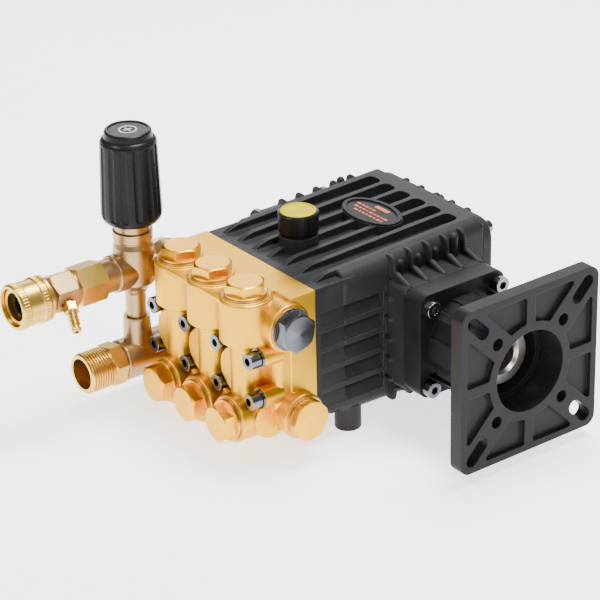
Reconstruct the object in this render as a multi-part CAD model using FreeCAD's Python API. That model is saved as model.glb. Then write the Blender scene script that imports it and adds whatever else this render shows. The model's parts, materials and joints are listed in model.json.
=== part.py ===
import FreeCAD, Part
import math
import os

# Triplex plunger pump with a brass head, unloader, quick coupler and hollow-shaft engine flange.
# Origin: centre of the engine flange face on the crankshaft axis.
# +X points out of the flange toward the engine, +Y toward the rear cover, +Z up. Millimetres.

V = FreeCAD.Vector

# Crankcase
PUMP_X = -188.4          # middle of the crankcase along the shaft
CASE_HALF = 68.85        # half width of the crankcase along the shaft
CASE_R = PUMP_X + CASE_HALF
CASE_L = PUMP_X - CASE_HALF
CASE_FRONT = -108.9      # joint plane with the brass head
CASE_BACK = 57.0         # joint plane with the rear cover
FRONT_TOP = 55.6         # half height of the case at the head
NECK_TOP = 60.5          # half height behind the front flange
REAR_TOP = 65.0          # half height at the rear cover
CHANNEL_Z = 55.2         # floor between the cooling ribs
SHOULDER_R = 11.0
CASE_WALL = 7.0
RIB_PITCH = 18.86
RIB_WIDTH = 4.4
BOSS_OUT = 23.0          # length of the bearing bosses outside the case
BOSS_HALF = 41.0
BOSS_TOP = 44.0
FIN_PITCH = 17.4
FOOT_LOW = -77.0
COVER_TOP = 61.0
PITCH = 41.2             # spacing of the three plungers
CYL_X = (PUMP_X - PITCH, PUMP_X, PUMP_X + PITCH)

# Running gear
THROW = 4.0              # crank eccentricity, half the stroke
PHASES = (0.0, 120.0, 240.0)
ECC_R = 24.0
ROD_LEN = 62.0
GUIDE_R = 14.0
STEM_R = 7.0
PLUNGER_R = 9.0
SHAFT_R = 22.5
SHAFT_BORE_R = 12.7
SHAFT_END = -30.0
BEARING_R = 37.5
FIT = 0.06               # radial running clearance

# Engine flange
PLATE = 135.0
PLATE_T = 12.1
PILOT_R = 33.0
NECK_HALF = 33.0
ADAPTER_SEAT = CASE_R + BOSS_OUT
ADAPTER_FLANGE_T = 19.0
BOLT_XY = 32.55          # inner engine holes, from the shaft axis each way
BOLT_R = 5.0
SLOT_R = 73.0            # radius of the slot centres
SLOT_HALF = 7.0
SLOT_W = 11.0
SCREW_XY = 34.0

# Brass head
HEAD_SLAB = -133.0       # front of the rear slab
HEAD_WALL = -146.0       # front of the wall between the columns
STACK_Y = -153.0         # axis of the three vertical valve bores
STACK_R = 20.8
STACK_LOW = 20.0
SEAT_Z = 21.6
HEAD_TOP = 56.0
CAP_AF = 27.0
COLUMN_R = 13.1
DRUM_R = 19.3
DRUM_Z = -4.5
SUCTION_Z = -43.0
SUCTION_R = 19.0
SUCTION_FRONT = -172.0
BOLT_X = (PUMP_X - 1.5 * PITCH, PUMP_X - 0.5 * PITCH, PUMP_X + 0.5 * PITCH, PUMP_X + 1.5 * PITCH)
BOLT_Z = (12.5, -21.5)
BOLT_SEAT = -157.4
OUT_Y, OUT_Z = -137.0, 35.0      # discharge gallery axis
IN_Y, IN_Z = -128.0, -41.0       # inlet gallery axis

# Unloader, outlet and inlet pieces on the left side
UX, UY = -280.0, -163.0
OUTLET_Z = 33.0
INLET_Z = -43.5
KNOB_LOW = 74.0
KNOB_TOP = 150.0


def box(x0, x1, y0, y1, z0, z1):
    return Part.makeBox(x1 - x0, y1 - y0, z1 - z0, V(x0, y0, z0))


def place(axis, a, u, v):
    if axis == "x":
        return V(a, u, v), V(1, 0, 0)
    if axis == "y":
        return V(u, a, v), V(0, 1, 0)
    return V(u, v, a), V(0, 0, 1)


def rod(axis, a, b, r, u, v):
    point, way = place(axis, a, u, v)
    return Part.makeCylinder(r, b - a, point, way)


def tube(axis, a, b, r_out, r_in, u, v):
    return rod(axis, a, b, r_out, u, v).cut(rod(axis, a - 1, b + 1, r_in, u, v))


def cone(axis, a, b, ra, rb, u, v):
    point, way = place(axis, a, u, v)
    return Part.makeCone(ra, rb, b - a, point, way)


def prism(points):
    return Part.Face(Part.makePolygon(points + [points[0]]))


def hexbar(axis, a, b, across, u, v, turn=0.0):
    r = across / math.sqrt(3.0)
    points = []
    for i in range(6):
        t = math.radians(60.0 * i + turn)
        c = r * math.cos(t)
        s = r * math.sin(t)
        if axis == "x":
            points.append(V(a, u + c, v + s))
        elif axis == "y":
            points.append(V(u + c, a, v + s))
        else:
            points.append(V(u + c, v + s, a))
    return prism(points).extrude(place(axis, b - a, 0, 0)[1] * (b - a))


def hexcap(axis, a, b, across, u, v, turn, ends):
    # hexagon with its corners turned off at one or both ends
    body = hexbar(axis, a, b, across, u, v, turn)
    r = across / math.sqrt(3.0)
    keep = rod(axis, a, b, r + 1.0, u, v)
    bite = r - across / 2.0 + 0.6
    if "a" in ends:
        keep = keep.common(cone(axis, a, b, r - bite, r - bite + (b - a) * 1.7, u, v))
    if "b" in ends:
        keep = keep.common(cone(axis, a, b, r - bite + (b - a) * 1.7, r - bite, u, v))
    return body.common(keep)


def fuse(shapes):
    out = shapes[0].multiFuse(list(shapes[1:]))
    return out.removeSplitter()


def cut(body, tools):
    return body.cut(Part.makeCompound(list(tools)))


def soften(shape, radius, wanted):
    edges = [e for e in shape.Edges if wanted(e)]
    try:
        out = shape.makeFillet(radius, edges)
        return out if out.isValid() and out.Volume > 0 else shape
    except Exception:
        return shape


def along(axis):
    def test(edge):
        if len(edge.Vertexes) != 2:
            return False
        d = edge.Vertexes[1].Point - edge.Vertexes[0].Point
        parts = {"x": abs(d.x), "y": abs(d.y), "z": abs(d.z)}
        return parts[axis] > 0.99 * d.Length and d.Length > 3.0
    return test


def round_rims(shape, radius):
    edges = [e for e in shape.Edges if e.Curve.TypeId == "Part::GeomCircle" and e.isClosed()]
    try:
        out = shape.makeFillet(radius, edges)
        return out if out.isValid() else shape
    except Exception:
        return shape


def spun(profile, axis, u, v):
    # profile is a list of (position along the axis, radius)
    face = prism([V(a, r, 0) for a, r in profile])
    solid = face.revolve(V(0, 0, 0), V(1, 0, 0), 360)
    if axis == "y":
        solid.rotate(V(0, 0, 0), V(0, 0, 1), 90)
    if axis == "z":
        solid.rotate(V(0, 0, 0), V(0, 1, 0), -90)
    solid.translate(place(axis, 0, u, v)[0])
    return solid


def save(shape, name):
    shape.exportStep(os.path.join("parts", name + ".step"))


def socket_screw(axis, seat, head, r_head, r_shank, reach, u, v):
    # head stands out from the seat by a signed height, shank goes the other way
    a, b = sorted((seat, seat + head))
    body = round_rims(rod(axis, a, b, r_head, u, v), 0.5)
    c, d = sorted((seat, seat - math.copysign(reach, head)))
    body = body.fuse(rod(axis, c, d, r_shank, u, v))
    top = seat + head
    e, f = sorted((top, top - math.copysign(abs(head) * 0.6, head)))
    return body.cut(hexbar(axis, e, f, r_head * 0.92, u, v, 15))


# ---------------------------------------------------------------- crankcase

def case_profile(low, high):
    # side outline of the case, deeper toward the rear
    return prism([V(low, CASE_FRONT, -FRONT_TOP), V(low, -101, -FRONT_TOP), V(low, -87, -NECK_TOP),
                  V(low, CASE_BACK, -REAR_TOP), V(low, CASE_BACK, REAR_TOP), V(low, -87, NECK_TOP),
                  V(low, -91, NECK_TOP - 0.7), V(low, -95, NECK_TOP - 2.0), V(low, -98.5, NECK_TOP - 3.6),
                  V(low, -101, FRONT_TOP),
                  V(low, CASE_FRONT, FRONT_TOP)]).extrude(V(high - low, 0, 0))


def case_shell():
    front = box(CASE_L + 1.25, CASE_R - 1.25, CASE_FRONT, -70, -FRONT_TOP, FRONT_TOP)
    front = soften(front, 5.0, lambda e: along("y")(e) and e.CenterOfMass.z < 0)
    middle = case_profile(PUMP_X - 58.8, PUMP_X + 58.8)
    main = case_profile(CASE_L, CASE_R).common(box(CASE_L - 1, CASE_R + 1, -81, 60, -90, 90))
    main = soften(main, SHOULDER_R, lambda e: long_edge(e) and abs(e.CenterOfMass.x - PUMP_X) > 60)
    main = soften(main, 2.5, lambda e: abs(e.CenterOfMass.y + 81) < 0.5)
    return [front, middle, main]


def long_edge(edge):
    if len(edge.Vertexes) != 2:
        return False
    d = edge.Vertexes[1].Point - edge.Vertexes[0].Point
    return abs(d.y) > 0.99 * d.Length and d.Length > 20


def rib_channels():
    # troughs with rounded rear ends between the seven cooling ribs
    tools = []
    for i in range(6):
        x = PUMP_X + (i - 2.5) * RIB_PITCH
        half = (RIB_PITCH - RIB_WIDTH) / 2
        trough = box(x - half, x + half, -112, 45, CHANNEL_Z, 80)
        trough = soften(trough, 5.0, lambda e: along("z")(e) and e.CenterOfMass.y > 40)
        tools.append(soften(trough, 1.5, lambda e: e.CenterOfMass.z < CHANNEL_Z + 0.1))
    return tools


def case_boss(side):
    outer = CASE_R if side > 0 else CASE_L
    x0, x1 = sorted((outer - side * 4, outer + side * BOSS_OUT))
    block = box(x0, x1, -BOSS_HALF, BOSS_HALF, -BOSS_HALF - 3, BOSS_TOP)
    pieces = [soften(block, 5.0, along("x"))]
    for up in (1, -1):
        for i in range(5):
            y = (i - 2) * FIN_PITCH
            crest = REAR_TOP - 1.4 - 0.02 * (FIN_PITCH * 2 - y)
            pieces.append(boss_fin(outer, side, up, y, crest))
            pieces.append(boss_foot_bar(outer, side, up, y))
            if i < 4:
                pieces.append(bay_column(outer, side, up, y + FIN_PITCH * 0.5, i == 3))
    for i in range(5):
        z = 29.5 - 17.2 * i
        a, b = sorted((outer - side * 4, outer + side * 5.5))
        pieces.append(rod("x", a, b, 2.3, -BOSS_HALF, z))
        pieces.append(Part.makeSphere(2.3, V(outer + side * 5.5, -BOSS_HALF, z)))
    return pieces


def boss_fin(outer, side, up, y, crest):
    # upright web with a rounded crest that drops to the foot bar
    line = [(-9, crest - 8), (-7, crest - 0.6), (-3, crest), (1.0, crest - 0.3),
            (3.2, crest - 1.8), (4.2, crest - 4.6),
            (4.6, 56), (5.0, 51), (6.5, 48.5), (12.0, 46.0), (12, 36), (-9, 36)]
    fin = prism([V(outer + side * a, y - 1.6, up * z) for a, z in line]).extrude(V(0, 3.2, 0))
    crown = 47.0

    def top_line(edge):
        return not along("y")(edge) and abs(edge.CenterOfMass.z) > crown
    return soften(fin, 1.3, top_line)


def boss_foot_bar(outer, side, up, y):
    # thick rounded bar from the foot of each fin down to the seam
    start = V(outer + side * 7.2, y, up * 48.2)
    end = V(outer + side * (BOSS_OUT - 2.2), y, up * (BOSS_TOP - 0.8))
    way = end - start
    bar = Part.makeCylinder(2.5, way.Length, start, way)
    return fuse([bar, Part.makeSphere(2.5, start), Part.makeSphere(2.5, end)])


def bay_column(outer, side, up, y, tall):
    r = 3.4 if tall else 2.6
    top = 60.0 if tall else 53.5
    a, b = sorted((up * 38, up * top))
    x = outer + side * (1.2 if tall else -0.2)
    return fuse([rod("z", a, b, r, x, y), Part.makeSphere(r, V(x, y, up * top))])


def side_louvres(side):
    # recesses between five level ledges on the wall in front of the boss
    x = CASE_R if side > 0 else CASE_L
    tools = []
    for i in range(5):
        z = 34.4 - 17.2 * i
        shallow = [(1.0, 0), (1.0, -12.6), (-1.4, -12.6), (-2.9, 0)]
        deep = [(1.0, 0.4), (1.0, -12.6), (-0.4, -12.6), (-3.6, -5.0), (-6.4, -1.2), (-6.4, 0.4)]
        tools.append(prism([V(x + side * a, -103.5, z + b) for a, b in shallow]).extrude(V(0, 24, 0)))
        louvre = prism([V(x + side * a, -80, z + b) for a, b in deep])
        tools.append(louvre.extrude(V(0, 80 - BOSS_HALF - 2.5, 0)))
    return tools


def make_crankcase():
    pieces = case_shell() + case_boss(1) + case_boss(-1)
    body = cut(fuse(pieces), rib_channels())
    pad = Part.Ellipse(V(PUMP_X, 1.8, 50), 30.6, 18.6)
    extra = [Part.Face(Part.Wire(pad.toShape())).extrude(V(0, 0, 63.4 - 50))]
    extra.append(rod("z", 50, 68, 15.7, PUMP_X, -71))
    for x, y in foot_points():
        extra.append(round_rims(rod("z", FOOT_LOW, -55, 10.5, x, y), 1.0))
    body = fuse([body] + extra).cut(badge_oval(30.6, 18.6, 63.4, 20))
    cavity = box(CASE_L + CASE_WALL, CASE_R - CASE_WALL, -95, 50, -53, 47)
    rear = box(CASE_L + 12, CASE_R - 12, 49, 60, -48, 45)
    body = cut(body, [cavity, rear])
    tubes = [rod("y", -96, -60, 19.0, x, 0) for x in CYL_X]
    webs = [box(x - 2.5, x + 2.5, -96, -62, -54, -17) for x in CYL_X]
    body = fuse([body] + tubes + webs)
    tools = side_louvres(1) + side_louvres(-1)
    for x in CYL_X:
        tools.append(rod("y", -94, -50, GUIDE_R + FIT, x, 0))
        tools.append(rod("y", -100, -93, 13.1, x, 0))
        tools.append(rod("y", -112, -99, 12.0, x, 0))
    for side in (1, -1):
        outer = CASE_R + BOSS_OUT if side > 0 else CASE_L - BOSS_OUT
        inner = outer - side * (BOSS_OUT + CASE_WALL + 1)
        mid = outer - side * 7.4
        tools.append(rod("x", min(mid, inner), max(mid, inner), BEARING_R + 0.1, 0, 0))
        tools.append(rod("x", min(outer, mid) - 1, max(outer, mid) + 1, 30.1, 0, 0))
        for sy in (-1, 1):
            for sz in (-1, 1):
                a, b = sorted((outer + side, outer - side * 17))
                tools.append(rod("x", a, b, 4.15, SCREW_XY * sy, SCREW_XY * sz))
    tools.append(rod("z", 40, 70, 8.2, PUMP_X, -71))
    for x in BOLT_X:
        for z in BOLT_Z:
            tools.append(rod("y", -110, -96.5, 4.15, x, z))
    for x, z in cover_screw_points():
        tools.append(rod("y", 46.5, 58, 3.15, x, z))
    for x, y in foot_points():
        tools.append(rod("z", FOOT_LOW - 1, -62.6, 4.0, x, y))
        tools.append(cone("z", -62.6, -60.4, 4.0, 0.4, x, y))
    return cut(body, tools)


def foot_points():
    return [(x, y) for x in (CASE_L + 11, CASE_R - 11) for y in (-70.5, 36)]


def cover_screw_points():
    corners = [(dx, z) for dx in (-57.5, 57.5) for z in (51, -51)]
    return [(PUMP_X + dx, z) for dx, z in corners + [(0, 53.5), (0, -54)]]


def make_rear_cover():
    y0 = CASE_BACK + 0.5
    plate = soften(box(CASE_L, CASE_R, y0, y0 + 10, -COVER_TOP - 1, COVER_TOP), 15.0, along("y"))
    plate = soften(plate, 2.5, lambda e: abs(e.CenterOfMass.y - y0 - 10) < 0.01)
    pieces = [plate]
    for i in range(5):
        x = PUMP_X + (i - 2) * RIB_PITCH
        nub = rod("y", y0 + 2, y0 + 10.5, 3.2, x, COVER_TOP - 2.8)
        pieces.append(fuse([nub, Part.makeSphere(3.2, V(x, y0 + 10.5, COVER_TOP - 2.8))]))
        if i == 2:
            continue
        rib = box(x - 2.2, x + 2.2, y0 + 6, y0 + 13, -44.0, 44.0)
        pieces.append(soften(rib, 1.6, lambda e: abs(e.CenterOfMass.y - y0 - 13) < 0.01))
    pieces.append(rod("y", y0 + 5, y0 + 14, 17.0, PUMP_X, 2))
    body = fuse(pieces)
    inside = box(CASE_L + 14, CASE_R - 14, y0 - 1, y0 + 5, -44, 43)
    tools = [inside, rod("y", y0 - 1, y0 + 20, 11.3, PUMP_X, 2)]
    for x, z in cover_screw_points():
        tools.append(rod("y", y0 - 2, y0 + 12, 3.4, x, z))
        tools.append(rod("y", y0 + 10, y0 + 16, 5.6, x, z))
    return cut(body, tools)


def make_rear_gasket():
    sheet = soften(box(CASE_L + 0.4, CASE_R - 0.4, CASE_BACK, CASE_BACK + 0.5, -COVER_TOP - 0.6,
                       COVER_TOP - 0.4), 14.6, along("y"))
    tools = [box(CASE_L + 13, CASE_R - 13, 50, 60, -46, 44)]
    tools += [rod("y", 50, 60, 3.4, x, z) for x, z in cover_screw_points()]
    return cut(sheet, tools)


def make_cover_screws():
    rear = CASE_BACK + 10.5
    side = CASE_L - BOSS_OUT - 6
    screws = [socket_screw("y", rear, 6.0, 5.0, 3.0, 20, x, z) for x, z in cover_screw_points()]
    screws += [socket_screw("x", side, -8.0, 6.5, 4.0, 20, SCREW_XY * a, SCREW_XY * b)
               for a in (-1, 1) for b in (-1, 1)]
    return Part.makeCompound(screws)


def make_sight_glass():
    y = CASE_BACK + 0.5
    neck = tube("y", y + 3, y + 14.0, 11.1, 9.2, PUMP_X, 2)
    back = tube("y", y + 14.0, y + 17.5, 15.0, 9.2, PUMP_X, 2)
    ring = round_rims(back.fuse(neck).removeSplitter(), 0.6)
    return ring


def make_sight_window():
    y = CASE_BACK + 0.5
    return rod("y", y + 9, y + 15.5, 9.15, PUMP_X, 2)


def make_side_cover():
    x1 = CASE_L - BOSS_OUT
    plate = soften(box(x1 - 6, x1, -BOSS_HALF, BOSS_HALF, -BOSS_HALF, 42), 9.0, along("x"))
    dome = round_rims(rod("x", x1 - 10, x1 - 5, 27, 0, 0), 2.0)
    spigot = rod("x", x1, x1 + 5, 29.9, 0, 0)
    ribs = [box(x1 - 9, x1 - 5, -36, 36, z - 1.8, z + 1.8) for z in (-14, 0, 14)]
    body = fuse([plate, dome, spigot] + ribs)
    tools = [rod("x", x1 - 7, x1 + 6, 4.3, SCREW_XY * a, SCREW_XY * b) for a in (-1, 1) for b in (-1, 1)]
    tools.append(rod("x", x1 - 2, x1 + 6, 22, 0, 0))
    return cut(body, tools)


# ---------------------------------------------------------------- engine flange

def plate_pockets():
    half = PLATE / 2 - 5.5
    tool = box(-3.6, 1, -half, half, -half, half)
    hub = rod("x", -5, 2, 40.0, 0, 0)
    bars = [box(-5, 2, -4.2, 4.2, -70, 70), box(-5, 2, -70, 70, -4.2, 4.2)]
    for turn in (45, -45):
        band = box(-5, 2, -11.5, 11.5, -100, 100)
        band.rotate(V(0, 0, 0), V(1, 0, 0), turn)
        bars.append(band)
    tool = cut(tool, [hub] + bars)
    return soften(tool, 2.2, along("x"))


def radial_slot(sy, sz, x0, x1):
    d = 1.0 / math.sqrt(2.0)
    reach = [(SLOT_R + s * SLOT_HALF) * d for s in (-1, 1)]
    ends = [rod("x", x0, x1, SLOT_W / 2, r * sy, r * sz) for r in reach]
    bar = box(x0, x1, SLOT_R - SLOT_HALF, SLOT_R + SLOT_HALF, -SLOT_W / 2, SLOT_W / 2)
    bar.rotate(V(0, 0, 0), V(1, 0, 0), math.degrees(math.atan2(sz, sy)))
    return fuse(ends + [bar])


def make_engine_flange():
    half = PLATE / 2
    plate = soften(box(-PLATE_T, 0, -half, half, -half, half), 9.0, along("x"))
    neck = soften(box(ADAPTER_SEAT, -PLATE_T + 1, -NECK_HALF, NECK_HALF, -NECK_HALF, NECK_HALF), 9.0,
                  along("x"))
    pad = soften(box(ADAPTER_SEAT, ADAPTER_SEAT + ADAPTER_FLANGE_T, -BOSS_HALF - 1, BOSS_HALF + 1,
                     -BOSS_HALF - 2, BOSS_TOP), 9.0, along("x"))
    pieces = [plate, neck, pad]
    for turn in range(4):
        # gussets from the neck corners out to the plate
        web = prism([V(-60, 40, -2.5), V(-PLATE_T + 1, 74, -2.5), V(-PLATE_T + 1, 30, -2.5),
                     V(-60, 30, -2.5)]).extrude(V(0, 0, 5))
        web.rotate(V(0, 0, 0), V(1, 0, 0), 45 + 90 * turn)
        pieces.append(web)
        rim = prism([V(-34, NECK_HALF - 1, -3), V(-PLATE_T + 1, 60, -3), V(-PLATE_T + 1, NECK_HALF - 1, -3),
                     ]).extrude(V(0, 0, 6))
        rim.rotate(V(0, 0, 0), V(1, 0, 0), 90 * turn)
        pieces.append(rim)
    body = fuse(pieces)
    tools = [plate_pockets(), rod("x", ADAPTER_SEAT - 1, 1, 29.0, 0, 0), rod("x", -26, 1, PILOT_R, 0, 0)]
    x_seat = ADAPTER_SEAT + ADAPTER_FLANGE_T
    for a in (-1, 1):
        for b in (-1, 1):
            tools.append(rod("x", -20, 1, BOLT_R, BOLT_XY * a, BOLT_XY * b))
            tools.append(radial_slot(a, b, -20, 1))
            tools.append(rod("x", ADAPTER_SEAT - 1, x_seat + 1, 4.3, SCREW_XY * a, SCREW_XY * b))
            tools.append(rod("x", x_seat, -40, 8.6, SCREW_XY * a, SCREW_XY * b))
    tunnel = rod("x", x_seat - 1, 0, 32.6, 0, 0)
    mouth = rod("x", -30.0, 0, 37.5, 0, 0)
    for turn in range(4):
        # cast pockets on each face of the neck, down to the round tunnel inside
        for a, b in ((-26.0, -9.0), (9.0, 26.0)):
            pocket = box(x_seat, -PLATE_T - 2.5, 15, NECK_HALF + 1, a, b)
            pocket = soften(pocket, 2.0, along("y")).cut(tunnel).cut(mouth)
            pocket.rotate(V(0, 0, 0), V(1, 0, 0), 90 * turn)
            tools.append(pocket)
    return cut(body, tools)


def make_flange_screws():
    seat = ADAPTER_SEAT + ADAPTER_FLANGE_T
    return Part.makeCompound([socket_screw("x", seat, 8.0, 6.5, 4.0, 33, SCREW_XY * a, SCREW_XY * b)
                              for a in (-1, 1) for b in (-1, 1)])


def make_shaft_seal():
    x = ADAPTER_SEAT
    return fuse([tube("x", x - 7.2, x - 0.4, 30.0, 27.5, 0, 0), tube("x", x - 7.2, x - 5.4, 28, 24.2, 0, 0),
                 tube("x", x - 6.4, x - 2.0, 25.2, SHAFT_R + FIT, 0, 0)])


def bearing_spots():
    right = (CASE_R - 2.6, CASE_R + BOSS_OUT - 7.4)
    left = (CASE_L - BOSS_OUT + 7.4, CASE_L + 2.6)
    return left, right


def make_outer_rings():
    rings = [tube("x", a, b, BEARING_R, 30.8, 0, 0) for a, b in bearing_spots()]
    return Part.makeCompound([round_rims(r, 0.8) for r in rings])


def make_inner_rings():
    left, right = bearing_spots()
    return Part.makeCompound([tube("x", left[0], left[1], 30.4, 17.5, 0, 0),
                              tube("x", right[0], right[1], 30.4, SHAFT_R, 0, 0)])


# ---------------------------------------------------------------- running gear

def ecc_centre(i):
    t = math.radians(PHASES[i])
    return THROW * math.cos(t), THROW * math.sin(t)


def make_crankshaft():
    left, right = bearing_spots()
    pieces = [rod("x", left[0] - 2, left[1] + 4, 17.5, 0, 0), rod("x", left[1], right[0], 19.0, 0, 0)]
    pieces.append(rod("x", right[0], SHAFT_END, SHAFT_R, 0, 0))
    for i, x in enumerate(CYL_X):
        y, z = ecc_centre(i)
        pieces.append(rod("x", x - 7.5, x + 7.5, ECC_R, y, z))
    body = fuse(pieces)
    tools = [rod("x", SHAFT_END - 62, SHAFT_END + 1, SHAFT_BORE_R, 0, 0)]
    tools.append(cone("x", SHAFT_END - 2.4, SHAFT_END + 0.1, SHAFT_BORE_R, SHAFT_BORE_R + 2.5, 0, 0))
    key = box(SHAFT_END - 55, SHAFT_END + 1, -3.2, 3.2, 0, SHAFT_BORE_R + 3.0)
    key.rotate(V(0, 0, 0), V(1, 0, 0), 20)
    tools.append(key)
    return cut(body, tools)


def make_rod(i):
    x = CYL_X[i]
    y, z = ecc_centre(i)
    tip = y - ROD_LEN
    big = tube("x", x - 6.5, x + 6.5, 29.5, ECC_R + FIT, y, z)
    shank = box(x - 5, x + 5, tip + 3, y - 26, z - 4.5, z + 4.5)
    small = rod("x", x - 5, x + 5, 5.4, tip, z)
    body = fuse([big, shank, small]).cut(rod("x", x - 10, x + 10, 3.5, tip, z))
    bolts = []
    for s in (-1, 1):
        bolts.append(rod("y", y - 7, y + 7, 3.4, x, z + s * 29.0).cut(
            rod("x", x - 20, x + 20, ECC_R + FIT, y, z)))
    body = fuse([body] + bolts)
    return Part.makeCompound([body, rod("x", x - 6.5, x + 6.5, 3.5, tip, z)])


def make_guide(i):
    x = CYL_X[i]
    s = ecc_centre(i)[0]
    body = fuse([rod("y", s - 88, s - 54, GUIDE_R, x, 0), rod("y", s - 105, s - 87, STEM_R, x, 0)])
    return body.cut(rod("y", s - 79, s - 50, 11.0, x, 0))


def make_plunger(i):
    x = CYL_X[i]
    s = ecc_centre(i)[0]
    body = round_rims(rod("y", s - 142, s - 105, PLUNGER_R, x, 0), 1.0)
    return body


def make_oil_seals():
    rings = []
    for x in CYL_X:
        outer = tube("y", -99.9, -94.2, 13.0, 10.8, x, 0)
        rings.append(fuse([outer, tube("y", -98.6, -96.6, 11.0, STEM_R + FIT, x, 0)]))
    return Part.makeCompound(rings)


def make_packings():
    rings = []
    for x in CYL_X:
        for k in range(3):
            a = -131.0 + 7.0 * k
            rings.append(tube("y", a, a + 6.0, 13.9, PLUNGER_R + FIT, x, 0))
    return Part.makeCompound(rings)


# ---------------------------------------------------------------- brass head

def drum(x):
    # flat-faced cheek on the left of each column
    y1 = -164.6
    cheek = rod("y", y1, -140, DRUM_R, x, DRUM_Z)
    cheek = cheek.cut(box(x - 1.2, x + 30, y1 - 1, -120, -40, 40))
    return soften(cheek, 1.0, lambda e: abs(e.CenterOfMass.y - y1) < 0.05)


def right_web(x):
    return box(x - 2, x + COLUMN_R - 0.5, STACK_Y, HEAD_WALL + 1, -38, STACK_LOW + 1)


def head_casting():
    slab = soften(box(CASE_L, CASE_R, HEAD_SLAB, CASE_FRONT, -57, HEAD_TOP), 5.0,
                  lambda e: along("y")(e) and e.CenterOfMass.z < 0)
    slab = soften(slab, 1.2, lambda e: abs(e.CenterOfMass.y - HEAD_SLAB) < 0.01)
    top = box(CYL_X[0] - 8, CYL_X[2] + 8, STACK_Y, HEAD_SLAB + 1, STACK_LOW, HEAD_TOP)
    wall = box(CASE_L + 0.8, CASE_R - 0.8, HEAD_WALL, HEAD_SLAB + 1, -50, 26)
    wall = soften(wall, 6.0, lambda e: along("z")(e) and e.CenterOfMass.y < HEAD_WALL + 1)
    lip = box(CYL_X[0], CYL_X[2], STACK_Y - STACK_R + 1.2, STACK_Y, HEAD_TOP - 4, HEAD_TOP - 0.3)
    pieces = [slab, top, wall, lip]
    for x in CYL_X:
        stack = rod("z", STACK_LOW, HEAD_TOP, STACK_R, x, STACK_Y)
        pieces.append(round_rims(stack, 1.6))
        pieces.append(round_rims(rod("z", HEAD_TOP - 3, HEAD_TOP + 1.2, 19.3, x, STACK_Y), 0.5))
        pieces.append(rod("z", SUCTION_Z, STACK_LOW + 2, COLUMN_R, x, STACK_Y))
        pieces.append(drum(x))
        pieces.append(right_web(x))
        chamber = rod("y", SUCTION_FRONT, -120, SUCTION_R, x, SUCTION_Z)
        pieces.append(round_rims(chamber, 1.6))
    for x in BOLT_X:
        for z in BOLT_Z:
            pieces.append(rod("y", BOLT_SEAT, -140, 8.4, x, z))
    pieces.append(round_rims(rod("x", CASE_L - 3, CASE_R + 5.0, 19.2, OUT_Y, OUT_Z), 1.5))
    pieces.append(round_rims(rod("x", CASE_L - 3, CASE_R + 9.0, 18.4, IN_Y, IN_Z), 1.5))
    pieces.append(rod("x", CYL_X[0] - 20, CYL_X[2] + 20, 16.0, -146, SUCTION_Z))
    return fuse(pieces)


def head_bores():
    tools = []
    for x in CYL_X:
        tools.append(rod("y", -131.2, -100, 14.0, x, 0))
        tools.append(rod("y", STACK_Y - 3, -130, PLUNGER_R + 1.0, x, 0))
        tools.append(rod("z", SUCTION_Z - 4, SEAT_Z + 1, 8.0, x, STACK_Y))
        tools.append(rod("z", SEAT_Z, 70, 13.2, x, STACK_Y))
        tools.append(rod("y", SUCTION_FRONT - 1, -141, 13.2, x, SUCTION_Z))
        tools.append(rod("y", -142, -124, 8.0, x, SUCTION_Z))
    tools.append(rod("x", CASE_L - 4, CASE_R + 6, 7.0, OUT_Y, OUT_Z))
    tools.append(rod("x", CASE_L - 4, CASE_R + 10, 9.0, IN_Y, IN_Z))
    for x in BOLT_X:
        for z in BOLT_Z:
            tools.append(rod("y", -180, -100, 4.3, x, z))
    return tools


def make_manifold():
    body = cut(head_casting(), head_bores())
    heads = [rod("y", -180, BOLT_SEAT, 8.4, x, z) for x in BOLT_X for z in BOLT_Z]
    return cut(body, heads)


def make_head_bolts():
    return Part.makeCompound([socket_screw("y", BOLT_SEAT - 1.6, -9.4, 6.6, 4.0, 55, x, z)
                              for x in BOLT_X for z in BOLT_Z])


def make_bolt_washers():
    return Part.makeCompound([tube("y", BOLT_SEAT - 1.6, BOLT_SEAT, 7.9, 4.3, x, z)
                              for x in BOLT_X for z in BOLT_Z])


def make_discharge_caps():
    caps = []
    for i, x in enumerate(CYL_X):
        z = HEAD_TOP + 1.2
        neck = rod("z", 46, z, 13.1, x, STACK_Y)
        collar = round_rims(rod("z", z + 1.0, z + 3.0, 16.6, x, STACK_Y), 0.5)
        stem = rod("z", z - 1, z + 1.5, 13.1, x, STACK_Y)
        head = hexcap("z", z + 3.0, z + 10.6, CAP_AF, x, STACK_Y, 8 + 5 * i, "b")
        caps.append(fuse([neck, stem, collar, head]))
    return Part.makeCompound(caps)


def make_suction_caps():
    caps = []
    for i, x in enumerate(CYL_X):
        y = SUCTION_FRONT
        neck = rod("y", y - 1.5, y + 8, 13.1, x, SUCTION_Z)
        collar = round_rims(rod("y", y - 3.4, y - 1.0, 16.6, x, SUCTION_Z), 0.5)
        head = hexcap("y", y - 13.0, y - 3.4, CAP_AF, x, SUCTION_Z, 22 + 7 * i, "a")
        caps.append(fuse([neck, collar, head]))
    return Part.makeCompound(caps)


def make_cap_seals():
    rings = []
    for x in CYL_X:
        rings.append(tube("z", HEAD_TOP + 1.2, HEAD_TOP + 2.2, 17.6, 13.3, x, STACK_Y))
        rings.append(tube("y", SUCTION_FRONT - 1.0, SUCTION_FRONT, 17.6, 13.3, x, SUCTION_Z))
    return Part.makeCompound(rings)


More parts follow.
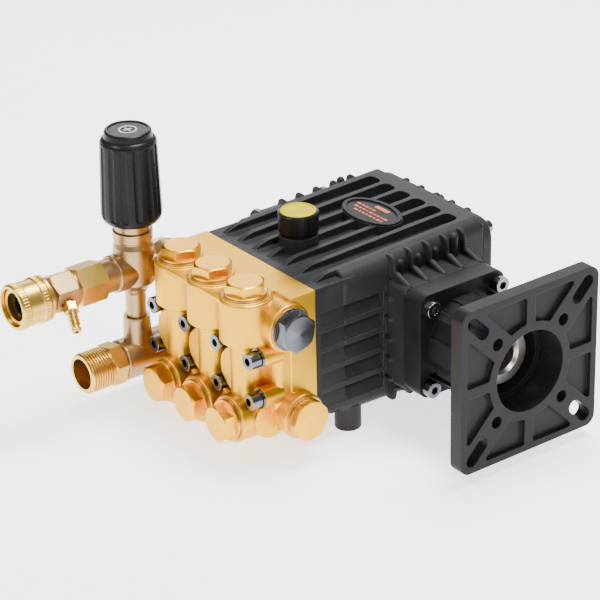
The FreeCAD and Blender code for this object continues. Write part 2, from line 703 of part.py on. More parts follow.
def make_discharge_plug():
    x = CASE_R + 5.0
    thread = rod("x", x - 12, x + 1.6, 6.9, OUT_Y, OUT_Z)
    collar = rod("x", x + 1.6, x + 3.0, 16.4, OUT_Y, OUT_Z)
    head = hexcap("x", x + 3.0, x + 12.0, 28.5, OUT_Y, OUT_Z, 20, "b")
    tip = cone("x", x + 12.0, x + 12.6, 12.8, 1.0, OUT_Y, OUT_Z)
    return fuse([thread, collar, head, tip])


def make_inlet_plug():
    x = CASE_R + 9.0
    thread = rod("x", x - 12, x + 1.6, 8.9, IN_Y, IN_Z)
    head = round_rims(rod("x", x + 1.6, x + 9.0, 16.2, IN_Y, IN_Z), 0.8)
    flats = hexbar("x", x + 2.8, x + 10, 30.6, IN_Y, IN_Z, 10)
    head = head.common(fuse([flats, rod("x", x, x + 2.8, 20, IN_Y, IN_Z)]))
    return fuse([thread, head])


def make_port_washers():
    return Part.makeCompound([
        tube("x", CASE_R + 5.0, CASE_R + 6.6, 17.4, 7.0, OUT_Y, OUT_Z),
        tube("x", CASE_R + 9.0, CASE_R + 10.6, 17.2, 9.0, IN_Y, IN_Z),
        tube("x", CASE_L - 22.5, CASE_L - 21, 12.5, 7.0, OUT_Y, OUT_Z),
        tube("x", CASE_L - 4.5, CASE_L - 3.0, 12.5, 7.0, OUT_Y, OUT_Z),
        tube("x", CASE_L - 4.6, CASE_L - 3.0, 13.4, 9.0, IN_Y, IN_Z)])


def valve_cage(axis, a, b, u, v):
    # cup with four side windows that stands on the seat
    lo, hi = sorted((a, b))
    cup = tube(axis, lo, hi, 12.9, 10.6, u, v)
    c, d = sorted((b, b - math.copysign(3.0, b - a)))
    cup = fuse([cup, rod(axis, c, d, 12.9, u, v).cut(rod(axis, c - 1, d + 1, 3.2, u, v))])
    tools = []
    for k in range(2):
        w0, w1 = sorted((a + math.copysign(2.0, b - a), b - math.copysign(5.0, b - a)))
        bar = box(-4, 4, -20, 20, w0, w1)
        bar.rotate(V(0, 0, 0), V(0, 0, 1), 90 * k + 45)
        if axis == "y":
            bar.rotate(V(0, 0, 0), V(1, 0, 0), -90)
        bar.translate(V(u, v, 0) if axis == "z" else V(u, 0, v))
        tools.append(bar)
    return cut(cup, tools)


def make_valve_cartridges():
    cages = []
    for x in CYL_X:
        cages.append(tube("z", SEAT_Z, SEAT_Z + 4.6, 13.1, 6.5, x, STACK_Y))
        cages.append(tube("y", -146.2, -141.0, 13.1, 6.5, x, SUCTION_Z))
        cages.append(valve_cage("z", SEAT_Z + 4.6, 46.0, x, STACK_Y))
        cages.append(valve_cage("y", -146.2, -164.0, x, SUCTION_Z))
    return Part.makeCompound(cages)


def make_discharge_poppet(i):
    x = CYL_X[i]
    z = SEAT_Z + 4.9
    return fuse([rod("z", z, z + 2.3, 9.4, x, STACK_Y), rod("z", z + 2, 41, 2.8, x, STACK_Y)])


def make_suction_poppet(i):
    x = CYL_X[i]
    return fuse([rod("y", -148.8, -146.5, 9.4, x, SUCTION_Z), rod("y", -160.0, -148, 2.8, x, SUCTION_Z)])


# ---------------------------------------------------------------- unloader and fittings

def make_unloader_body():
    pieces = [spun([(14, 0), (14, 9.5), (17, 10.6), (20, 13.6), (23, 16.4), (48, 16.4), (53, 15.9), (57, 14.4),
                    (58, 14.4), (59, 15.8), (66, 15.8), (67, 14.2), (104, 14.2), (104, 0)], "z", UX, UY)]
    pieces.append(rod("y", UY - 32.5, UY, 13.4, UX, OUTLET_Z))
    pieces.append(round_rims(rod("y", UY - 22, UY, 15.2, UX, OUTLET_Z), 1.2))
    arm = box(UX - 1, UX + 16, UY, OUT_Y - 6, OUT_Z - 10, OUT_Z + 10)
    arm = soften(arm, 5.0, along("y"))
    eye = round_rims(rod("x", CASE_L - 21, CASE_L - 4.5, 16.0, OUT_Y, OUT_Z), 1.2)
    body = fuse(pieces + [arm, eye])
    tools = [rod("z", 10, 70, 7.0, UX, UY), rod("z", 44, 110, 11.0, UX, UY),
             rod("y", UY - 40, UY, 7.5, UX, OUTLET_Z), rod("y", UY, OUT_Y, 5.0, UX + 8, OUT_Z),
             rod("x", CASE_L - 30, CASE_L, 7.0, OUT_Y, OUT_Z), rod("x", UX, UX + 8, 5.0, UY + 4, OUT_Z),
             rod("x", CASE_L - 36, CASE_L - 21, 14.6, OUT_Y, OUT_Z)]
    return cut(body, tools)


def make_banjo_bolt():
    x = CASE_L - 21
    head = hexcap("x", x - 10.5, x - 1.5, 24.0, OUT_Y, OUT_Z, 0, "a")
    shank = rod("x", x - 2, CASE_L + 8, 6.9, OUT_Y, OUT_Z)
    return fuse([head, shank]).cut(rod("x", x + 2, CASE_L + 9, 4.0, OUT_Y, OUT_Z))


def make_bypass_tube():
    return spun([(-8, 6.0), (-8, 8.0), (-5, 8.2), (12, 8.2), (14, 9.2), (14, 6.0)], "z", UX, UY)


def make_inlet_tee():
    barrel = rod("y", UY - 19.3, IN_Y + 14, 16.6, UX, INLET_Z)
    barrel = round_rims(barrel, 2.0)
    socket = spun([(-40, 0), (-40, 12.5), (-26, 11.4), (-10, 10.7), (-8, 10.2), (-8, 0)], "z", UX, UY)
    port = rod("x", UX, CASE_L - 4.6, 14.0, IN_Y, IN_Z)
    spigot = rod("x", UX, CASE_L + 10, 8.9, IN_Y, IN_Z)
    body = fuse([barrel, socket, port, spigot])
    tools = [rod("y", UY - 30, IN_Y + 6, 11.5, UX, INLET_Z), rod("z", INLET_Z, 0, 6.0, UX, UY),
             rod("x", UX, CASE_L + 11, 6.4, IN_Y, IN_Z)]
    return cut(body, tools)


def make_inlet_nipple():
    y0 = UY - 19.3
    front = y0 - 34.7
    profile = [(front, 12.6), (front, 15.2), (front + 1.2, 16.4)]
    for k in range(8):
        a = front + 1.4 + 2.31 * k
        profile += [(a, 16.5), (a + 0.8, 16.5), (a + 1.15, 15.2), (a + 1.7, 15.2), (a + 2.05, 16.5)]
    profile += [(front + 20.6, 15.0), (y0 - 12, 15.0), (y0 - 12, 12.6)]
    thread = spun(profile, "y", UX, INLET_Z)
    collar = hexcap("y", y0 - 13.0, y0 - 1.0, 31.0, UX, INLET_Z, 12, "a")
    spigot = rod("y", y0 - 2, y0 + 12, 11.4, UX, INLET_Z)
    shoulder = rod("y", y0 - 1.2, y0, 14.6, UX, INLET_Z)
    body = fuse([collar, spigot, shoulder]).cut(rod("y", front - 5, y0 + 20, 9.8, UX, INLET_Z))
    body = body.cut(rod("y", front - 5, y0 - 11, 12.6, UX, INLET_Z))
    return fuse([thread, body])


def make_outlet_adapter():
    y0 = UY - 32.5
    head = hexcap("y", y0 - 25.5, y0, 29.5, UX, OUTLET_Z, 14, "ab")
    spigot = rod("y", y0 - 1, y0 + 10, 7.4, UX, OUTLET_Z)
    return fuse([head, spigot]).cut(rod("y", y0 - 40, y0 + 20, 5.0, UX, OUTLET_Z))


def make_injector_body():
    y0 = UY - 58.0
    head = hexcap("y", y0 - 22, y0 - 1.6, 28.0, UX, OUTLET_Z, 22, "ab")
    collar = rod("y", y0 - 2.2, y0, 13.6, UX, OUTLET_Z)
    nose = rod("y", y0 - 26, y0 - 20, 11.5, UX, OUTLET_Z)
    body = fuse([head, collar, nose]).cut(rod("y", y0 - 40, y0 + 10, 3.4, UX, OUTLET_Z))
    return body.cut(barb_tools(0.0, 20.0, 3.4)).cut(barb_tools(10.8, 30.0, 6.9))


def barb_frame():
    # base point and direction of the chemical barb, pointing forward, outward and down
    base = V(UX + 11.5, UY - 69.0, OUTLET_Z - 4.0)
    way = V(0.80, -0.30, -0.52)
    way.normalize()
    return base, way


def barb_tools(start, end, r):
    base, way = barb_frame()
    return Part.makeCylinder(r, end - start, base + way * (start - 8.0), way)


def make_barb():
    base, way = barb_frame()
    profile = [(-4.0, 0), (-4.0, 3.3), (3.0, 3.3), (3.0, 4.4), (4.0, 4.8), (10.0, 4.8), (11.0, 4.2), (11.5, 3.0)]
    for k in range(4):
        a = 12.0 + 3.0 * k
        profile += [(a, 4.3), (a + 2.6, 3.0)]
    profile += [(24.2, 3.2), (25.4, 4.0), (27.4, 3.8), (28.0, 3.2), (28.0, 0)]
    face = prism([V(a, r, 0) for a, r in profile])
    solid = face.revolve(V(0, 0, 0), V(1, 0, 0), 360)
    nut = hexbar("x", 3.2, 10.0, 11.0, 0, 0, 0)
    solid = fuse([solid, nut]).cut(rod("x", -5, 30, 1.5, 0, 0))
    turn = FreeCAD.Rotation(V(1, 0, 0), way)
    solid.Placement = FreeCAD.Placement(base, turn)
    return solid


def make_coupler_body():
    y1 = UY - 84.0
    pieces = [spun([(y1 - 26.0, 11.4), (y1 - 26.0, 14.4), (y1 - 25.0, 15.0), (y1 - 9.0, 15.0), (y1 - 9.0, 13.4),
                    (y1 - 2.5, 13.4), (y1 - 2.5, 14.6), (y1, 14.6), (y1, 3.6), (y1 - 8, 3.6), (y1 - 8, 11.4)],
                   "y", UX, OUTLET_Z)]
    return pieces[0]


def make_coupler_seal():
    y1 = UY - 84.0
    ring = Part.makeTorus(9.6, 1.7, V(UX, y1 - 10.5, OUTLET_Z), V(0, 1, 0))
    sleeve = tube("y", y1 - 20.0, y1 - 12.4, 11.3, 9.4, UX, OUTLET_Z)
    return Part.makeCompound([ring, sleeve])


def make_coupler_sleeve():
    y1 = UY - 84.0
    front = y1 - 29.0
    profile = [(front, 15.2), (front, 17.2), (front + 1.3, 18.4), (front + 6.6, 18.4), (front + 7.4, 17.7),
               (front + 19.0, 17.7), (front + 19.8, 18.6), (front + 23.5, 18.6), (front + 24.2, 16.6),
               (front + 25.6, 16.6), (front + 26.2, 18.2), (front + 28.2, 18.2), (front + 28.8, 17.4),
               (front + 28.8, 15.3), (front + 20.0, 15.3), (front + 3.4, 15.3), (front + 3.0, 15.2)]
    body = spun(profile, "y", UX, OUTLET_Z)
    tools = []
    for k in range(45):
        t = math.radians(8.0 * k)
        for a, b, r in ((front + 1.6, front + 6.2, 18.55), (front + 20.1, front + 23.2, 18.75)):
            tools.append(rod("y", a, b, 0.42, UX + r * math.cos(t), OUTLET_Z + r * math.sin(t)))
    return cut(body, tools)


# ---------------------------------------------------------------- knob, spring and oil cap

def make_knob():
    lo, hi = KNOB_LOW, KNOB_TOP
    outer = spun([(lo, 0), (lo, 19.4), (lo + 0.8, 20.8), (lo + 2.4, 22.4), (lo + 5, 23.6), (lo + 8, 24.0),
                  (lo + 14, 23.9), (hi - 12, 22.4), (hi - 9.6, 22.1), (hi - 8.0, 21.4), (hi - 6.8, 20.3),
                  (hi - 6.0, 19.2), (hi - 5.2, 18.9), (hi - 1.6, 18.4), (hi - 0.6, 17.9), (hi, 17.0), (hi, 15.6),
                  (hi - 0.8, 15.2), (hi - 0.8, 0)], "z", UX, UY)
    tools = []
    for k in range(14):
        t = 360.0 / 14 * k + 6
        low = V(27.6, 0, lo + 8)
        high = V(26.1, 0, hi - 12.5)
        flute = Part.makeCylinder(4.8, (high - low).Length, low, high - low)
        flute = fuse([flute, Part.makeSphere(4.8, low), Part.makeSphere(4.8, high)])
        flute.rotate(V(0, 0, 0), V(0, 0, 1), t)
        flute.translate(V(UX, UY, 0))
        tools.append(flute)
    tools.append(rod("z", hi - 1.2, hi + 1, 7.6, UX, UY))
    tools.append(rod("z", lo - 1, lo + 48, 14.9, UX, UY))
    return cut(outer, tools)


def make_knob_disc():
    # small ring and cross set in the recessed top of the knob
    z = KNOB_TOP - 1.2
    bars = [box(UX - 3.6, UX + 3.6, UY - 0.8, UY + 0.8, z, z + 0.6),
            box(UX - 0.8, UX + 0.8, UY - 3.6, UY + 3.6, z, z + 0.6)]
    return Part.makeCompound([tube("z", z, z + 0.6, 7.4, 5.9, UX, UY), fuse(bars)])


def make_spring_seat():
    return fuse([rod("z", KNOB_LOW + 36.0, KNOB_LOW + 47.6, 4.0, UX, UY),
                 rod("z", KNOB_LOW + 34.0, KNOB_LOW + 37.0, 9.6, UX, UY)])


def make_unloader_spring():
    lo, hi = 48.0, KNOB_LOW + 33.8
    turns = 8
    helix = Part.makeHelix((hi - lo - 2.4) / turns, hi - lo - 2.4, 8.0)
    helix.translate(V(UX, UY, lo + 1.2))
    ring = Part.Wire(Part.makeCircle(1.2, V(UX + 8.0, UY, lo + 1.2), V(0, 1, 0.1)))
    return Part.Wire(helix).makePipeShell([ring], True, True)


def make_oil_cap_seal():
    return tube("z", 68.0, 69.6, 14.2, 9.6, PUMP_X, -71)


def make_oil_cap():
    skirt = spun([(69.6, 0), (69.6, 15.0), (71.0, 15.8), (85.4, 15.8), (86.3, 15.0), (86.3, 0)],
                 "z", PUMP_X, -71)
    stem = rod("z", 56.0, 70.0, 8.0, PUMP_X, -71)
    tools = [rod("z", 80.6, 90, 13.5, PUMP_X, -71)]
    for k in range(18):
        t = math.radians(20.0 * k)
        tools.append(rod("z", 71.4, 84.4, 0.6, PUMP_X + 16.1 * math.cos(t), -71 + 16.2 * math.sin(t)))
    return cut(fuse([skirt, stem]), tools)


def make_oil_cap_insert():
    return spun([(80.6, 0), (80.6, 13.4), (86.4, 13.4), (86.6, 13.9), (87.0, 13.9), (87.3, 13.4), (87.3, 12.8),
                 (86.4, 12.2), (86.0, 0)], "z", PUMP_X, -71)


def badge_oval(a, b, z, height):
    return Part.Face(Part.Wire(Part.Ellipse(V(PUMP_X, 1.8, z), a, b).toShape())).extrude(V(0, 0, height))


def make_badge():
    z = 63.4
    ring = badge_oval(30.2, 18.2, z, 1.6)
    ring = soften(ring, 0.7, lambda e: e.CenterOfMass.z > z + 1.5)
    return ring.cut(badge_oval(26.4, 14.4, z + 0.5, 3))


def make_badge_bars():
    z = 63.9
    cx, cy = PUMP_X, 1.8
    bars = [box(cx - 5.5, cx + 10.5, cy + 6.6, cy + 10.4, z, z + 0.3)]
    rows = ((-21.0, -3.0, 2.6), (-19.0, 18.0, -2.0), (-14.0, 19.0, -6.6))
    for low, high, y in rows:
        x = low
        k = 0
        while x < high:
            wide = (4.2, 2.4, 3.4, 1.8)[k % 4]
            bars.append(box(cx + x, cx + x + wide, cy + y - 1.0, cy + y + 1.0, z, z + 0.25))
            x += wide + 1.5
            k += 1
    return Part.makeCompound(bars)


def build():
    os.makedirs("parts", exist_ok=True)
    single = {
        "crankcase": make_crankcase, "rear_cover": make_rear_cover, "rear_gasket": make_rear_gasket,
        "cover_screws": make_cover_screws, "sight_glass_ring": make_sight_glass,
        "sight_glass_window": make_sight_window, "side_cover": make_side_cover,
        "engine_flange": make_engine_flange, "engine_flange_screws": make_flange_screws,
        "shaft_seal": make_shaft_seal, "bearing_outer_rings": make_outer_rings,
        "bearing_inner_rings": make_inner_rings, "crankshaft": make_crankshaft,
        "guide_oil_seals": make_oil_seals, "plunger_packings": make_packings,
        "manifold": make_manifold, "head_bolts": make_head_bolts,
        "head_bolt_washers": make_bolt_washers, "discharge_caps": make_discharge_caps,
        "suction_caps": make_suction_caps, "cap_seals": make_cap_seals,
        "discharge_plug": make_discharge_plug, "inlet_plug": make_inlet_plug,
        "port_washers": make_port_washers, "valve_cartridges": make_valve_cartridges,
        "unloader_body": make_unloader_body, "banjo_bolt": make_banjo_bolt,
        "bypass_tube": make_bypass_tube, "inlet_tee": make_inlet_tee,
        "inlet_nipple": make_inlet_nipple, "outlet_adapter": make_outlet_adapter,
        "injector_body": make_injector_body, "injector_barb": make_barb,
        "coupler_body": make_coupler_body, "coupler_seal": make_coupler_seal,
        "coupler_sleeve": make_coupler_sleeve, "knob": make_knob, "knob_disc": make_knob_disc,
        "spring_seat": make_spring_seat, "unloader_spring": make_unloader_spring,
        "oil_cap_seal": make_oil_cap_seal, "oil_cap": make_oil_cap,
        "oil_cap_insert": make_oil_cap_insert, "badge": make_badge, "badge_bars": make_badge_bars}
    for name, make in single.items():
        save(make(), name)
    for i in range(3):
        save(make_rod(i), "connecting_rod_%d" % (i + 1))
        save(make_plunger(i), "plunger_%d" % (i + 1))
        save(make_guide(i), "plunger_guide_%d" % (i + 1))
        save(make_suction_poppet(i), "suction_poppet_%d" % (i + 1))
        save(make_discharge_poppet(i), "discharge_poppet_%d" % (i + 1))


build()
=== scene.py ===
import json
import math
import bpy
from mathutils import Matrix, Vector


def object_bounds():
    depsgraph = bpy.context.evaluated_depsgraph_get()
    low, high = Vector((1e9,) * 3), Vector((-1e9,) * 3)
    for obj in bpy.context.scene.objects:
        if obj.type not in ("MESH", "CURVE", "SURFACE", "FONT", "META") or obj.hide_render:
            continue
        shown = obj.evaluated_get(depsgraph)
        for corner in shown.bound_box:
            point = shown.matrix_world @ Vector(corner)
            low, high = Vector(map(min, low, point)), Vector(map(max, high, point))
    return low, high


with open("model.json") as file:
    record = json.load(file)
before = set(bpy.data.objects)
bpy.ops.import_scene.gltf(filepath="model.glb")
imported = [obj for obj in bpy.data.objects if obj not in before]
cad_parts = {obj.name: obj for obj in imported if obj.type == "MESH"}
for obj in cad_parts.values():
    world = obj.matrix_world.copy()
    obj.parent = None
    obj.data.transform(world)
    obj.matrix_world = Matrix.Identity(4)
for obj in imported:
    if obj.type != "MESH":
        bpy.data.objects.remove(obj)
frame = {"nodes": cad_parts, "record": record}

cad_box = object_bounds()
nodes = frame["nodes"]
scene = bpy.context.scene

# ------------------------------------------------------------------ camera

CAMERA_AIM = Vector((-0.22906, -0.040, -0.01553))
CAMERA_DISTANCE = 2.2109
CAMERA_AZIMUTH = 52.75
CAMERA_ELEVATION = 26.36
CAMERA_ROLL = -1.16
CAMERA_LENS = 165.95
WORLD_LIGHT = 0.3
FLOOR_GLOW = 2.0
FLOOR_HALF = 12.0


def add_camera():
    az, el, roll = (math.radians(v) for v in (CAMERA_AZIMUTH, CAMERA_ELEVATION, CAMERA_ROLL))
    back = Vector((math.sin(az) * math.cos(el), -math.cos(az) * math.cos(el), math.sin(el)))
    right = (-back).cross(Vector((0, 0, 1))).normalized()
    up = right.cross(-back)
    rolled_right = right * math.cos(roll) + up * math.sin(roll)
    rolled_up = up * math.cos(roll) - right * math.sin(roll)
    data = bpy.data.cameras.new("camera")
    data.lens = CAMERA_LENS
    data.sensor_width = 36
    data.clip_end = 20
    cam = bpy.data.objects.new("camera", data)
    scene.collection.objects.link(cam)
    turn = Matrix((rolled_right, rolled_up, back)).transposed().to_4x4()
    cam.matrix_world = Matrix.Translation(CAMERA_AIM + back * CAMERA_DISTANCE) @ turn
    scene.camera = cam


# ------------------------------------------------------------------ material helpers

BEVEL_SAMPLES = 6
# cosines of the angle between true and softened normal where an edge starts, and is fully an edge
EDGE_START = 0.98
EDGE_FULL = 0.75

class Nodes:
    """A small wrapper that adds shader nodes and joins them."""

    def __init__(self, name):
        self.material = bpy.data.materials.new(name)
        self.material.use_nodes = True
        self.tree = self.material.node_tree
        self.shader = self.tree.nodes["Principled BSDF"]
        self.place = self.add("ShaderNodeTexCoord").outputs["Object"]

    def add(self, kind, **values):
        node = self.tree.nodes.new(kind)
        for key, value in values.items():
            setattr(node, key, value)
        return node

    def link(self, a, b):
        self.tree.links.new(a, b)

    def noise(self, scale, detail=4.0, roughness=0.55, stretch=None):
        node = self.add("ShaderNodeTexNoise")
        node.inputs["Scale"].default_value = scale
        node.inputs["Detail"].default_value = detail
        node.inputs["Roughness"].default_value = roughness
        source = self.place
        if stretch:
            mapping = self.add("ShaderNodeMapping")
            mapping.inputs["Scale"].default_value = stretch
            self.link(source, mapping.inputs["Vector"])
            source = mapping.outputs["Vector"]
        self.link(source, node.inputs["Vector"])
        return node.outputs["Fac"]

    def span(self, value, low, high, out_low, out_high):
        node = self.add("ShaderNodeMapRange")
        limits = {"From Min": low, "From Max": high, "To Min": out_low, "To Max": out_high}
        for key, number in limits.items():
            node.inputs[key].default_value = number
        self.link(value, node.inputs["Value"])
        return node.outputs["Result"]

    def math(self, operation, a, b):
        node = self.add("ShaderNodeMath", operation=operation)
        for socket, value in zip(node.inputs, (a, b)):
            if isinstance(value, (int, float)):
                socket.default_value = value
            else:
                self.link(value, socket)
        return node.outputs[0]

    def blend(self, factor, a, b):
        node = self.add("ShaderNodeMix", data_type="RGBA")
        for socket, value in ((node.inputs[0], factor), (node.inputs[6], a), (node.inputs[7], b)):
            if isinstance(value, (int, float)):
                socket.default_value = value
            elif isinstance(value, tuple):
                socket.default_value = (*value, 1.0)
            else:
                self.link(value, socket)
        return node.outputs[2]

    def edges(self, radius):
        """1 on sharp edges and 0 elsewhere, from how far a softened normal leaves the true one."""
        soft = self.add("ShaderNodeBevel", samples=BEVEL_SAMPLES)
        soft.inputs["Radius"].default_value = radius
        true = self.add("ShaderNodeNewGeometry")
        dot = self.add("ShaderNodeVectorMath", operation="DOT_PRODUCT")
        self.link(soft.outputs["Normal"], dot.inputs[0])
        self.link(true.outputs["Normal"], dot.inputs[1])
        return self.span(dot.outputs["Value"], EDGE_START, EDGE_FULL, 0.0, 1.0)

    def bump(self, height, distance, strength=1.0, soften=0.0):
        node = self.add("ShaderNodeBump")
        node.inputs["Distance"].default_value = distance
        node.inputs["Strength"].default_value = strength
        self.link(height, node.inputs["Height"])
        if soften:
            soft = self.add("ShaderNodeBevel", samples=BEVEL_SAMPLES)
            soft.inputs["Radius"].default_value = soften
            self.link(soft.outputs["Normal"], node.inputs["Normal"])
        self.link(node.outputs["Normal"], self.shader.inputs["Normal"])

    def color(self, value):
        socket = self.shader.inputs["Base Color"]
        if isinstance(value, tuple):
            socket.default_value = (*value, 1.0)
        else:
            self.link(value, socket)

    def roughness(self, value):
        socket = self.shader.inputs["Roughness"]
        if isinstance(value, (int, float)):
            socket.default_value = value
        else:
            self.link(value, socket)


def cast_metal(name, base, light, rough, grain, metallic=0.0, scale=900.0, edge=0.0007, edge_wear_and_highlight=0.4,
               specular=0.5):
    """Blasted or painted casting: cloudy tone, fine grain, and edges lightened both as rubbed wear and as a
    painted edge highlight.
    """
    m = Nodes(name)
    m.shader.inputs["Metallic"].default_value = metallic
    m.shader.inputs["Specular IOR Level"].default_value = specular
    cloud = m.noise(34.0, 6.0, 0.6)
    fine = m.noise(scale, 3.0, 0.6)
    tone = m.blend(m.span(cloud, 0.32, 0.68, 0.0, 1.0), base, light)
    speck = m.blend(m.span(fine, 0.45, 0.7, 0.0, 0.4), tone, light)
    # sharp edges are blended towards a paler tone: partly rubbed wear, partly a painted edge highlight
    if edge_wear_and_highlight:
        rubbed_edge_highlight_mask = m.math("MULTIPLY", m.edges(edge), m.span(m.noise(120.0, 4.0), 0.3, 0.6, 0.2, 1.0))
        pale_edge_and_highlight = tuple(min(1.0, c * 2.4 + 0.02) for c in light) if not metallic else light
        speck = m.blend(m.math("MULTIPLY", rubbed_edge_highlight_mask, edge_wear_and_highlight), speck, pale_edge_and_highlight)
    m.color(speck)
    m.roughness(m.span(cloud, 0.25, 0.75, rough - 0.06, rough + 0.07))
    coarse = m.noise(scale * 0.3, 3.0)
    m.bump(m.math("ADD", m.math("MULTIPLY", fine, 0.6), m.math("MULTIPLY", coarse, 0.8)), grain, 0.55, edge)
    return m.material


def turned_metal(name, base, light, rough, stretch=(1, 1, 1), scale=420.0, grain=0.000006, edge=0.0004,
                 anisotropic=0.0, axis="Z"):
    """Machined metal: tool lines in the bump and a stretched highlight."""
    m = Nodes(name)
    m.shader.inputs["Metallic"].default_value = 1.0
    cloud = m.noise(60.0, 4.0)
    lines = m.noise(scale, 3.0, 0.6, stretch)
    stain = m.noise(210.0, 5.0, 0.65)
    tone = m.blend(m.span(cloud, 0.3, 0.7, 0.0, 1.0), base, light)
    dark = tuple(c * 0.8 for c in base)
    m.color(m.blend(m.span(stain, 0.58, 0.80, 0.0, 0.07), tone, dark))
    m.roughness(m.math("ADD", m.span(cloud, 0.25, 0.75, rough - 0.01, rough + 0.02),
                       m.span(lines, 0.3, 0.7, -0.005, 0.01)))
    if anisotropic:
        m.shader.inputs["Anisotropic"].default_value = anisotropic
        tangent = m.add("ShaderNodeTangent", direction_type="RADIAL", axis=axis)
        m.link(tangent.outputs["Tangent"], m.shader.inputs["Tangent"])
    m.bump(lines, grain, 0.5, edge)
    return m.material


def moulded(name, base, rough, grain=0.00003, scale=700.0, specular=0.5, soften=0.0):
    """Moulded plastic, rubber or ceramic: one colour, faintly clouded, with a fine grain."""
    m = Nodes(name)
    m.shader.inputs["Specular IOR Level"].default_value = specular
    cloud = m.noise(50.0, 4.0)
    fine = m.noise(scale, 3.0)
    darker = tuple(c * 0.75 for c in base)
    m.color(m.blend(m.span(cloud, 0.3, 0.7, 0.0, 1.0), darker, base))
    m.roughness(m.span(fine, 0.3, 0.7, rough - 0.05, rough + 0.07))
    m.bump(fine, grain, 0.5, soften)
    return m.material


def sight_glass(name):
    """Clear window with the tint of oil behind it."""
    m = Nodes(name)
    m.shader.inputs["Roughness"].default_value = 0.05
    m.shader.inputs["Alpha"].default_value = 0.4
    m.color(m.blend(m.span(m.noise(80.0), 0.3, 0.7, 0.0, 1.0), (0.75, 0.68, 0.45), (0.85, 0.80, 0.60)))
    m.bump(m.noise(300.0), 0.00001)
    return m.material


def finishes():
    """Material slot -> the call that makes its material, and the values for it."""
    # the edge-lightening strength set below paints rubbed wear together with an edge highlight on the black
    # casting
    case = dict(base=(0.017, 0.0175, 0.019), light=(0.028, 0.0285, 0.031), rough=0.44, grain=0.00007,
                edge=0.0008, edge_wear_and_highlight=0.95, specular=0.10)
    flange = dict(base=(0.009, 0.0094, 0.011), light=(0.015, 0.0155, 0.018), rough=0.42, grain=0.00006,
                  edge=0.0008, edge_wear_and_highlight=0.8, specular=0.10)
    head = dict(base=(0.74, 0.385, 0.006), light=(0.84, 0.455, 0.014), rough=0.40, grain=0.00004,
                metallic=1.0, scale=700.0, edge=0.0009)
    fitting = dict(base=(0.37, 0.235, 0.115), light=(0.50, 0.33, 0.17), rough=0.36, grain=0.00028,
                   metallic=1.0, scale=170.0)
    plug = dict(base=(0.10, 0.105, 0.115), light=(0.15, 0.16, 0.175), rough=0.25, grain=0.0000002,
                edge=0.0003, anisotropic=0.9, axis="X")
    shaft = dict(base=(0.52, 0.47, 0.43), light=(0.72, 0.66, 0.62), rough=0.3, scale=300.0,
                 stretch=(0.3, 1, 1))
    yellow = dict(base=(0.60, 0.52, 0.0), rough=0.5, grain=0.00001, scale=500.0, specular=0.03)
    badge = dict(base=(0.014, 0.014, 0.016), rough=0.42, scale=800.0, specular=0.1, soften=0.0005)
    marks = dict(base=(0.62, 0.17, 0.06), rough=0.5, grain=0.00001, scale=500.0, specular=0.1)
    knob = dict(base=(0.010, 0.010, 0.0115), rough=0.3, grain=0.000006, scale=500.0, specular=0.12)
    oil_cap = dict(base=(0.006, 0.006, 0.006), rough=0.34, grain=0.00001, scale=500.0, specular=0.15)
    return {
        "case_black": (cast_metal, case),
        "flange_black": (cast_metal, flange),
        "head_brass": (cast_metal, head),
        "fitting_brass": (cast_metal, fitting),
        "cap_brass": (turned_metal, dict(base=(0.72, 0.36, 0.006), light=(0.84, 0.44, 0.014), rough=0.30)),
        "bright_brass": (turned_metal, dict(base=(0.66, 0.41, 0.07), light=(0.80, 0.52, 0.12), rough=0.3)),
        "zinc_screw": (turned_metal, dict(base=(0.13, 0.135, 0.15), light=(0.22, 0.23, 0.25), rough=0.2)),
        "steel_plug": (turned_metal, plug),
        "shaft_steel": (turned_metal, shaft),
        "inner_steel": (turned_metal, dict(base=(0.40, 0.40, 0.41), light=(0.55, 0.55, 0.56), rough=0.35)),
        "rod_alloy": (turned_metal, dict(base=(0.48, 0.48, 0.49), light=(0.60, 0.60, 0.61), rough=0.4)),
        "copper_ring": (turned_metal, dict(base=(0.55, 0.30, 0.12), light=(0.70, 0.42, 0.20), rough=0.3)),
        "white_ceramic": (moulded, dict(base=(0.85, 0.83, 0.76), rough=0.15)),
        "cap_yellow": (moulded, yellow),
        "disc_silver": (moulded, dict(base=(0.42, 0.43, 0.45), rough=0.35)),
        "badge_black": (moulded, badge),
        "badge_orange": (moulded, marks),
        "window_glass": (sight_glass, {}),
        "knob_black": (moulded, knob),
        "cap_black": (moulded, oil_cap),
        "gasket_grey": (moulded, dict(base=(0.03, 0.03, 0.03), rough=0.6)),
        "black_rubber": (moulded, dict(base=(0.006, 0.006, 0.006), rough=0.5, specular=0.3)),
    }


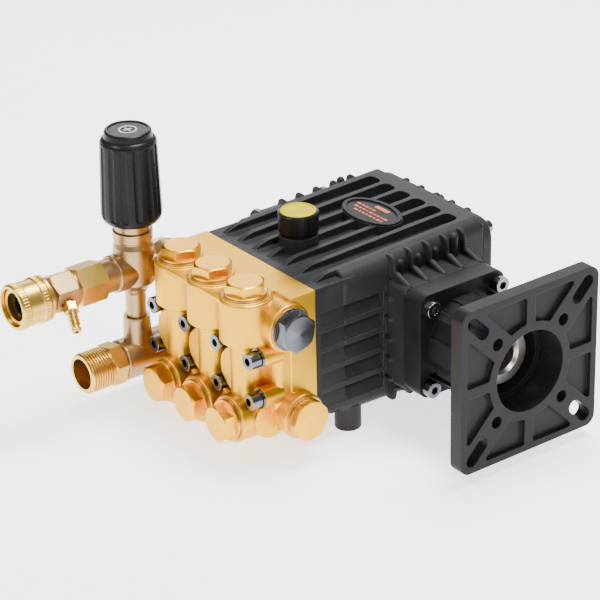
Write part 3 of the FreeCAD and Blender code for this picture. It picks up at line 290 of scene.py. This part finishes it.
def paint_nodes():
    table = finishes()
    made = {}
    for row in frame["record"]["subparts"]:
        slot = row["material_slot"]
        if slot not in made:
            make, values = table[slot]
            made[slot] = make(slot, **values)
        obj = nodes[row["node"]]
        obj.data.materials.clear()
        obj.data.materials.append(made[slot])


# ------------------------------------------------------------------ floor and light

def add_floor():
    """Plain pale floor that touches the lowest point of the part."""
    low = cad_box[0][2]
    mesh = bpy.data.meshes.new("floor")
    s = FLOOR_HALF
    mesh.from_pydata([(-s, -s, low), (s, -s, low), (s, s, low), (-s, s, low)], [], [(0, 1, 2, 3)])
    floor = bpy.data.objects.new("floor", mesh)
    scene.collection.objects.link(floor)
    m = Nodes("floor_white")
    tone = m.blend(m.span(m.noise(2.0), 0.3, 0.7, 0.0, 1.0), (0.90, 0.90, 0.90), (0.93, 0.93, 0.93))
    m.color(tone)
    m.roughness(0.8)
    m.link(tone, m.shader.inputs["Emission Color"])
    m.shader.inputs["Emission Strength"].default_value = FLOOR_GLOW
    mesh.materials.append(m.material)


def area_light(name, place, aim, size, power):
    data = bpy.data.lights.new(name, "AREA")
    data.shape = "RECTANGLE"
    data.size, data.size_y = size
    data.energy = power
    lamp = bpy.data.objects.new(name, data)
    scene.collection.objects.link(lamp)
    lamp.location = place
    lamp.rotation_euler = (Vector(aim) - Vector(place)).to_track_quat("-Z", "Y").to_euler()


def add_lights():
    world = bpy.data.worlds.new("studio")
    world.use_nodes = True
    scene.world = world
    sky = world.node_tree.nodes["Background"]
    sky.inputs["Color"].default_value = (1, 1, 1, 1)
    sky.inputs["Strength"].default_value = WORLD_LIGHT
    middle = (-0.17, -0.08, 0.0)
    area_light("key", (-0.7, -1.5, 1.9), middle, (0.6, 0.6), 28)
    area_light("side", (1.6, -0.5, 1.7), middle, (0.7, 0.9), 22)
    area_light("back", (-2.0, 1.5, 1.15), middle, (2.0, 0.9), 25)
    area_light("top", (-0.2, 0.5, 2.4), middle, (1.2, 0.9), 130)


add_camera()
paint_nodes()
add_floor()
add_lights()
